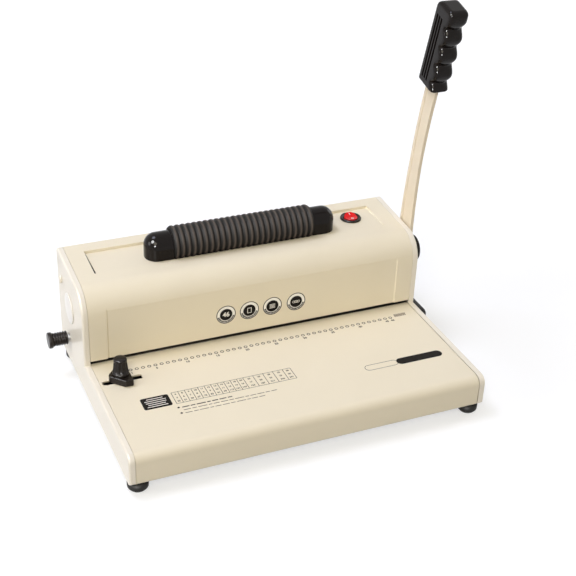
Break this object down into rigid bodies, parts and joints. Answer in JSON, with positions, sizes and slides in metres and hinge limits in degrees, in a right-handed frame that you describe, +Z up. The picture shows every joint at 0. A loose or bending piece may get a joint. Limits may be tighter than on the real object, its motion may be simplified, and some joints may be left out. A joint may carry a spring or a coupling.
{
  "type": "coil binding machine",
  "caption": "Desk machine that punches a row of holes in sheets with a hand lever and winds plastic coils through them with a motor-driven ribbed roller.",
  "frame": {"origin": "on the table, under the middle of the whole machine's width and depth", "axes": "+Z up, +X to the operator's right, +Y away from the operator"},
  "size_m": [0.404, 0.2524, 0.3807],
  "materials": {
    "cream_paint": "satin",
    "cream_plastic": "satin",
    "black_plastic": "gloss",
    "satin_black_plastic": "satin",
    "sleeve_rubber": "matte",
    "foot_rubber": "matte",
    "red_plastic": "gloss",
    "steel": "brushed",
    "dark_steel": "oiled",
    "bronze": "satin",
    "zinc_plate": "satin",
    "circuit_board": "satin"
  },
  "bodies": {
    "machine": {"bottom_plate": "zinc_plate", "front_left_foot": "foot_rubber", "front_right_foot": "foot_rubber", "rear_left_foot": "foot_rubber", "rear_right_foot": "foot_rubber", "left_side_cover": "cream_plastic", "right_side_cover": "cream_plastic", "left_cover_plug": "cream_plastic", "left_cover_screw_low": "cream_paint", "left_cover_screw_high": "cream_paint", "right_cover_screw_low": "cream_paint", "right_cover_screw_high": "cream_paint", "base_cover": "cream_paint", "tower_cover": "cream_paint", "rear_cover": "cream_paint", "left_frame": "dark_steel", "right_frame": "dark_steel", "die_plate": "steel", "pin_guide_plate": "dark_steel", "left_return_spring": "steel", "right_return_spring": "steel", "left_bearing": "bronze", "right_bearing": "bronze", "left_roller_housing": "black_plastic", "right_roller_housing": "black_plastic", "left_roller_bush": "bronze", "right_roller_bush": "bronze", "drive_belt": "foot_rubber", "motor": "zinc_plate", "motor_bracket": "steel", "switch_body": "black_plastic", "power_inlet": "satin_black_plastic", "control_board": "circuit_board"},
    "lever": {"lever_arm": "cream_paint", "lever_spacer": "steel", "lever_cap": "satin_black_plastic", "lever_grip": "black_plastic", "main_shaft": "steel", "left_cam": "dark_steel", "right_cam": "dark_steel"},
    "punch": {"punch_bar": "dark_steel"},
    "roller": {"roller_shaft": "steel", "roller_core": "satin_black_plastic", "roller_sleeve": "sleeve_rubber", "roller_pulley": "steel"},
    "motor_rotor": {"motor_shaft": "steel", "motor_pulley": "steel"},
    "rocker": {"switch_rocker": "red_plastic"},
    "side_guide": {"side_guide_block": "satin_black_plastic", "side_guide_nut_plate": "steel", "side_guide_bolt": "steel"},
    "guide_knob": {"side_guide_knob": "satin_black_plastic"},
    "margin_setting": {"margin_knob": "satin_black_plastic", "margin_shaft": "steel", "left_margin_cam": "bronze", "right_margin_cam": "bronze"},
    "stop": {"back_stop": "steel"},
    "tray": {"waste_tray": "satin_black_plastic", "tray_pull": "satin_black_plastic"}
  },
  "joints": [
    {"name": "lever_swing", "type": "hinge", "parent": "machine", "child": "lever", "pos_m": [0, 0.06345, 0.0895], "axis": [1, 0, 0], "range_deg": [0, 90], "stiffness_Nm_per_rad": 0.5, "springref_deg": -40.11},
    {"name": "punch_press", "type": "slide", "parent": "machine", "child": "punch", "axis": [0, 0, -1], "range_m": [0, 0.0081], "deforming": ["left_return_spring", "right_return_spring"]},
    {"name": "roller_spin", "type": "hinge", "parent": "machine", "child": "roller", "pos_m": [0, 0.07845, 0.136], "axis": [1, 0, 0], "continuous": true},
    {"name": "motor_spin", "type": "hinge", "parent": "machine", "child": "motor_rotor", "pos_m": [0, 0.08845, 0.084], "axis": [1, 0, 0], "continuous": true},
    {"name": "rocker_tilt", "type": "hinge", "parent": "machine", "child": "rocker", "pos_m": [0.1335, 0.08845, 0.1224], "axis": [1, 0, 0], "range_deg": [-20, 0]},
    {"name": "side_guide_slide", "type": "slide", "parent": "machine", "child": "side_guide", "axis": [1, 0, 0], "range_m": [-0.0145, 0.0175]},
    {"name": "guide_knob_turn", "type": "hinge", "parent": "side_guide", "child": "guide_knob", "pos_m": [-0.15288, -0.00815, 0.06], "axis": [0, 0, 1], "range_deg": [0, 120]},
    {"name": "margin_knob_turn", "type": "hinge", "parent": "machine", "child": "margin_setting", "pos_m": [0, 0.08755, 0.0408], "axis": [1, 0, 0], "range_deg": [-90, 90]},
    {"name": "back_stop_slide", "type": "slide", "parent": "machine", "child": "stop", "axis": [0, 1, 0], "range_m": [-0.0018, 0.0018]},
    {"name": "waste_tray_slide", "type": "slide", "parent": "machine", "child": "tray", "axis": [1, 0, 0], "range_m": [0, 0.3]}
  ],
  "couplings": [
    {"joint": "punch_press", "follows": "lever_swing", "m_per_rad": 0.005093},
    {"joint": "motor_spin", "follows": "roller_spin", "ratio": 1.3},
    {"joint": "margin_knob_turn", "follows": "back_stop_slide", "rad_per_m": -872.66}
  ]
}
